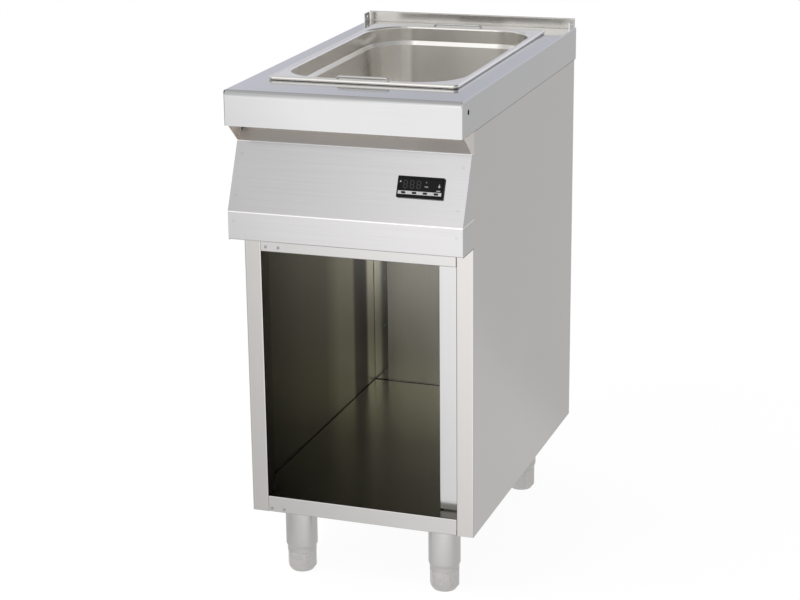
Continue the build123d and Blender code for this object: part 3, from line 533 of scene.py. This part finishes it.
# Painted shadow lines
# Dark bars stand in for the shadow in the joints along the lower edges of the skirts, behind the cheeks and
# under them, and round the cabinet floor where it meets the walls. Each bead is a thin bar with rounded edges.
# Near-black finish for the bars that stand in for shadow in the joints.
shadow_line_black = plastic("shadow_line_black", colour=(0.035, 0.034, 0.033), roughness=0.55, spark_size=300.0)
bead_gap = 0.0001
bead_rounding = 0.0002
skirt_bead_start = 0.0015
skirt_bead_drop = 0.0008
cheek_bead_setback = 0.0004
cheek_bead_depth = 0.0014
cheek_foot_start = 0.002
cheek_foot_drop = 0.0012
floor_bead_width = 0.0016
floor_bead_drop = 0.0012
floor_bead_rise = 0.0004
rear_bead_depth = 0.002
rear_bead_lap = 0.0008
rear_bead_drop = 0.0008
rear_bead_rise = 0.0005
left_side = Matrix.Diagonal((-1, 1, 1, 1))


def bead(name, low, high):
    """Lays a thin dark bar with rounded edges between two corners as a painted shadow line, and its twin on the
    left side.
    """
    bar = start(bpy.ops.mesh.primitive_cube_add, size=1, location=[(a + b) / 2 for a, b in zip(low, high)],
                scale=[b - a for a, b in zip(low, high)])
    bpy.ops.object.mode_set(mode="EDIT")
    bpy.ops.mesh.select_all(action="SELECT")
    bpy.ops.mesh.bevel(offset=bead_rounding, segments=2, affect="EDGES")
    bpy.ops.object.mode_set(mode="OBJECT")
    fix(bar, name + "_right", shadow_line_black, "frame")
    copy_at(bar, left_side, name + "_left", shadow_line_black, "frame")


top_low, top_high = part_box("worktop")
cheek_low, cheek_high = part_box("cheek_right")
floor_edge, floor_end, floor_top = floor_high
strip_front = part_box("door_stop_strip")[0][1]
bead("skirt_bead",
     (post_high[0] + bead_gap, cheek_high[1] + skirt_bead_start, top_low[2] - skirt_bead_drop),
     (top_high[0] - bead_gap, post_high[1], top_low[2] - bead_gap))
bead("cheek_bead",
     (post_high[0] + bead_gap, cheek_high[1] + bead_gap, cheek_low[2]),
     (cheek_high[0] - cheek_bead_setback, cheek_high[1] + cheek_bead_depth, cheek_high[2]))
bead("cheek_foot_bead",
     (cheek_low[0] + bead_gap, cheek_low[1] + cheek_foot_start, cheek_low[2] - cheek_foot_drop),
     (cheek_high[0] - bead_gap, cheek_high[1], cheek_low[2] - bead_gap))
bead("floor_bead",
     (floor_edge - floor_bead_width, strip_front, floor_top - floor_bead_drop),
     (floor_edge + bead_gap, floor_end, floor_top + floor_bead_rise))
bead("floor_rear_bead",
     (0, floor_end - rear_bead_depth, floor_top - rear_bead_drop),
     (floor_edge - floor_bead_width, floor_end + rear_bead_lap, floor_top + rear_bead_rise))

# Digital controller
# A black moulded bezel clipped into the slanted face, with a smoked window over a three-digit display.
# Four dark keys stand in a white strip below the window. Digit bars and signs are printed on the window.
black_plastic = plastic("black_plastic", colour=(0.006, 0.006, 0.0065), roughness=0.35, shine=0.15)
dress(black_plastic, "controller_bezel", "controller_housing")
white_plastic = plastic("white_plastic", colour=(0.74, 0.74, 0.73), roughness=0.4)
dress(white_plastic, "keypad_strip")
key_plastic = plastic("key_plastic", colour=(0.012, 0.012, 0.013), roughness=0.4, shine=0.2)
dress(key_plastic, "key_1", "key_2", "key_3", "key_4")
smoke = plastic("smoke", colour=(0.005, 0.005, 0.0055), roughness=0.15, bump=0.02, shine=0.15)
dress(smoke, "display_window")
dim_print = plastic("dim_print", colour=(0.045, 0.045, 0.047), roughness=0.3)
white_print = plastic("white_print", colour=(0.62, 0.62, 0.62), roughness=0.4)
grey_print = plastic("grey_print", colour=(0.16, 0.16, 0.155), roughness=0.35)
print_rise = 0.00006
bar_length = 0.0050
bar_width = 0.0011
bar_corner = 0.48 * bar_width
digit_step = 0.00295
digit_middles = (-0.025, -0.014, -0.003)
# Each bar of a digit has its steps across, its steps up and its turn.
digit_bars = ((0, 2, 0), (0, 0, 0), (0, -2, 0),
              (-1, 1, pi / 2), (1, 1, pi / 2), (-1, -1, pi / 2), (1, -1, pi / 2))
drop_shoulder = 0.0010
drop_narrowing = 0.4
drop_stretch = 4.4
right = Vector((1, 0, 0))
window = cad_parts["display_window"]
window_face = max(window.data.polygons, key=lambda face: face.area * (face.normal.y < -0.5))
panel_out = window_face.normal.copy()
panel_up = panel_out.cross(right)
window_low, window_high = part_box("display_window")
window_middle = (Vector(window_low) + Vector(window_high)) / 2
window_top = panel_out * (window_face.center - window_middle).dot(panel_out) + window_middle


def on_panel(across, up, turned=0.0):
    """Place on the window's front face, in metres from its middle."""
    axes = Matrix((right, panel_up, panel_out)).transposed().to_4x4()
    spot = window_top + right * across + panel_up * up
    return Matrix.Translation(spot) @ axes @ Matrix.Rotation(turned, 4, "Z")


def raise_print(piece):
    """Turns a flat outline into a thin printed mark with closed sides."""
    bpy.ops.object.mode_set(mode="EDIT")
    bpy.ops.mesh.select_all(action="SELECT")
    bpy.ops.mesh.extrude_region_move(TRANSFORM_OT_translate={"value": (0, 0, print_rise)})
    bpy.ops.mesh.select_all(action="SELECT")
    bpy.ops.mesh.normals_make_consistent(inside=False)
    bpy.ops.object.mode_set(mode="OBJECT")


def printed_bar(length, width, corner):
    """A printed bar with its four corners cut off."""
    piece = start(bpy.ops.mesh.primitive_plane_add, size=1, scale=(length, width, 1))
    bpy.ops.object.mode_set(mode="EDIT")
    bpy.ops.mesh.select_all(action="SELECT")
    bpy.ops.mesh.bevel(offset=corner, affect="VERTICES")
    bpy.ops.object.mode_set(mode="OBJECT")
    raise_print(piece)
    return piece


def outline(sides, radius):
    """A flat outline of equal sides, not yet raised."""
    return start(bpy.ops.mesh.primitive_circle_add, vertices=sides, radius=radius, fill_type="NGON")


bar = printed_bar(bar_length, bar_width, bar_corner)
for digit, middle in enumerate(digit_middles, 1):
    for count, (across, up, turned) in enumerate(digit_bars, 1):
        place = on_panel(middle + across * digit_step, up * digit_step, turned)
        copy_at(bar, place, f"digit_{digit}_{count}", dim_print, "frame")
drop = outline(sides=20, radius=0.0018)
for point in drop.data.vertices:
    if point.co.y > drop_shoulder:
        point.co.x *= drop_narrowing
        point.co.y = drop_shoulder + drop_stretch * (point.co.y - drop_shoulder)
raise_print(drop)
wedge = outline(sides=3, radius=0.0021)
raise_print(wedge)
dot = outline(sides=16, radius=0.0013)
raise_print(dot)
dash = printed_bar(length=0.0026, width=0.0016, corner=0.0003)
for sign, name, place, ink in (
        (drop, "drop_sign", on_panel(0.0312, -0.0010), white_print),
        (wedge, "wedge_sign", on_panel(-0.0335, 0.0038), white_print),
        (dot, "lamp_dot", on_panel(0.0095, 0.0045), grey_print),
        (dot, "degree_dot", on_panel(0.0082, -0.0024) @ Matrix.Scale(0.7, 4), white_print),
        (dash, "degree_dash", on_panel(0.0113, -0.0026), white_print),
        (dash, "range_dash", on_panel(0.0305, -0.0082) @ Matrix.Scale(2.4, 4, right), white_print)):
    copy_at(sign, place, name, ink, "frame")
for pattern in (bar, drop, wedge, dot, dash):
    bpy.data.objects.remove(pattern)

# Electrical pieces behind the fascia
# A zinc-plated plate on the top rail carries the relay, the terminal block and the safety thermostat.
# Their housings, and the clips that hold the controller, are moulded in grey plastic.
dress(zinc, "component_plate")
grey_plastic = plastic("grey_plastic", colour=(0.28, 0.29, 0.30), roughness=0.45)
dress(grey_plastic, "heater_relay", "terminal_block", "safety_thermostat", "controller_clips")

# Cable gland
# A round entry for the supply cable, moulded in black nylon.
# It is screwed through the back panel, with its flange outside and a locknut inside.
nylon = plastic("nylon", colour=(0.02, 0.02, 0.021), roughness=0.5, spark_size=500.0)
dress(nylon, "cable_gland")

# Studio floor
# A pale floor that runs out to the horizon. Seen directly it is nearly white and keeps a soft shadow.
# Mirrored in the metal it shows a pool of light in front that fades towards the left and the back.
floor_size = 120
floor_drop = 0.0005
pool_direction = (0.75, -0.47, 0)
pool_span = (-0.1, 0.75)
pool_end_span = (-0.75, -0.25)
pool_bright = 1.48
pool_left = 0.63
pool_back = 0.72
white_level = 1.075
glow_share = 0.88
floor = start(bpy.ops.mesh.primitive_plane_add, size=floor_size, location=(0, 0, -floor_drop))
floor.name = "studio_floor"
paper = bpy.data.materials.new("studio_paper")
paper.use_nodes = True
paper_tree = paper.node_tree
nodes = paper_tree.nodes
link = paper_tree.links.new
nodes.remove(nodes["Principled BSDF"])
floor_place = nodes.new("ShaderNodeTexCoord")
pool_slope = nodes.new("ShaderNodeVectorMath")
pool_slope.operation = "DOT_PRODUCT"
pool_slope.inputs[1].default_value = pool_direction
link(floor_place.outputs["Object"], pool_slope.inputs[0])
pool = graded(paper_tree, pool_slope.outputs["Value"], pool_span, (pool_left, pool_bright))
floor_split = nodes.new("ShaderNodeSeparateXYZ")
link(floor_place.outputs["Object"], floor_split.inputs["Vector"])
pool_end = graded(paper_tree, floor_split.outputs["Y"], pool_end_span, (pool_bright, pool_back))
pool_level = nodes.new("ShaderNodeMath")
pool_level.operation = "MINIMUM"
link(pool, pool_level.inputs[0])
link(pool_end, pool_level.inputs[1])
matt = nodes.new("ShaderNodeBsdfDiffuse")
matt.inputs["Color"].default_value = (0.85, 0.85, 0.85, 1)
mirrored = nodes.new("ShaderNodeEmission")
link(pool_level.outputs[0], mirrored.inputs["Strength"])
white = nodes.new("ShaderNodeEmission")
white.inputs["Strength"].default_value = white_level
path = nodes.new("ShaderNodeLightPath")
glow = nodes.new("ShaderNodeMixShader")
link(path.outputs["Is Camera Ray"], glow.inputs[0])
link(mirrored.outputs[0], glow.inputs[1])
link(white.outputs[0], glow.inputs[2])
seen = path.outputs["Is Camera Ray"]
for other_ray in ("Is Glossy Ray", "Is Transmission Ray"):
    either = nodes.new("ShaderNodeMath")
    either.operation = "MAXIMUM"
    link(seen, either.inputs[0])
    link(path.outputs[other_ray], either.inputs[1])
    seen = either.outputs[0]
share = nodes.new("ShaderNodeMath")
share.operation = "MULTIPLY"
share.inputs[1].default_value = glow_share
link(seen, share.inputs[0])
surface = nodes.new("ShaderNodeMixShader")
link(share.outputs[0], surface.inputs[0])
link(matt.outputs[0], surface.inputs[1])
link(glow.outputs[0], surface.inputs[2])
link(surface.outputs[0], nodes["Material Output"].inputs["Surface"])
floor.data.materials.append(paper)

# Studio room
# A plain room mirrored in the metal: a cool pale wall behind, a dimmer ceiling that falls off to the right,
# and a bright wall in front with one window of light. Above the horizon the camera sees a white backdrop.
cool_wall = (0.69, 0.70, 0.77)
ceiling_span = (0.13, 0.22)
front_span = (0.70, 0.82)
world = bpy.data.worlds.new("studio_room")
bpy.context.scene.world = world
world.use_nodes = True
room_tree = world.node_tree
nodes = room_tree.nodes
link = room_tree.links.new
room = nodes["Background"]
room.inputs["Strength"].default_value = 1.0
room_place = nodes.new("ShaderNodeTexCoord")
split = nodes.new("ShaderNodeSeparateXYZ")
link(room_place.outputs["Generated"], split.inputs["Vector"])
turn = nodes.new("ShaderNodeMath")
turn.operation = "ARCTAN2"
link(split.outputs["Z"], turn.inputs[0])
link(split.outputs["Y"], turn.inputs[1])
over = graded(room_tree, turn.outputs[0], (0.0, pi))
across = graded(room_tree, split.outputs["X"], (-1.0, 1.0))


def greys(*stops):
    """Light levels as grey stops. Each is its place from 0 to 1, and its level."""
    return [(place, (level, level, level)) for place, level in stops]


rise = tones(room_tree, over, (0.13, cool_wall),
             *greys((0.19, 0.45), (0.27, 0.66), (0.60, 0.76), (0.72, 0.95), (0.82, 1.02), (0.89, 1.08),
                    (0.94, 1.3), (1.0, 1.3)))
front_wall = tones(room_tree, across,
                   *greys((0.0, 0.40), (0.20, 0.50), (0.29, 0.63), (0.37, 1.40), (0.41, 1.35), (0.46, 0.60),
                          (1.0, 0.50)))
rear_wall = tones(room_tree, across,
                  *greys((0.0, 1.0), (0.30, 1.03), (0.345, 0.86), (0.60, 1.15), (1.0, 1.15)))
ceiling = tones(room_tree, across,
                *greys((0.0, 1.0), (0.50, 0.80), (0.60, 0.3), (0.80, 0.25), (1.0, 0.6)))
overhead = graded(room_tree, over, ceiling_span)
rear_half = nodes.new("ShaderNodeMix")
link(overhead, rear_half.inputs["Factor"])
link(rear_wall, rear_half.inputs["A"])
link(ceiling, rear_half.inputs["B"])
in_front = graded(room_tree, over, front_span)
fade = nodes.new("ShaderNodeMix")
link(in_front, fade.inputs["Factor"])
link(rear_half.outputs["Result"], fade.inputs["A"])
link(front_wall, fade.inputs["B"])
level = nodes.new("ShaderNodeVectorMath")
level.operation = "SCALE"
link(rise, level.inputs[0])
link(fade.outputs["Result"], level.inputs["Scale"])
link(level.outputs["Vector"], room.inputs["Color"])
backdrop = nodes.new("ShaderNodeBackground")
backdrop.inputs["Color"].default_value = (1, 1, 1, 1)
path = nodes.new("ShaderNodeLightPath")
view = nodes.new("ShaderNodeMixShader")
link(path.outputs["Is Camera Ray"], view.inputs[0])
link(room.outputs[0], view.inputs[1])
link(backdrop.outputs[0], view.inputs[2])
link(view.outputs[0], nodes["World Output"].inputs["Surface"])

# Soft lamp
# One large lamp above the front left corner, for the soft shadow on the floor.
# It isn't mirrored in the metal.
lamp_aim = Vector((0, 0, 0.4))
lamp_data = bpy.data.lights.new("soft_lamp", "AREA")
lamp_data.shape = "SQUARE"
lamp_data.size = 1.6
lamp_data.energy = 25
lamp = bpy.data.objects.new("soft_lamp", lamp_data)
bpy.context.scene.collection.objects.link(lamp)
lamp.location = (-1.4, -1.8, 3.0)
lamp.rotation_euler = (lamp_aim - Vector(lamp.location)).to_track_quat("-Z", "Y").to_euler()
lamp.visible_glossy = False

# Camera
# A long lens, a little above the worktop and to the right, as in the photograph.
# A small shift frames the object as it is framed there.
camera_data = bpy.data.cameras.new("camera")
camera_data.sensor_fit = "HORIZONTAL"
camera_data.sensor_width = 36.0
camera_data.lens = 93.497
camera_data.shift_x = 0.119732
camera_data.shift_y = 0.022496
camera = bpy.data.objects.new("camera", camera_data)
bpy.context.scene.collection.objects.link(camera)
camera.location = (1.13301, -3.34842, 1.52474)
camera.rotation_euler = (1.2639886, 0.0242767, 0.3737884)
bpy.context.scene.camera = camera
bpy.context.scene.view_settings.view_transform = "Standard"
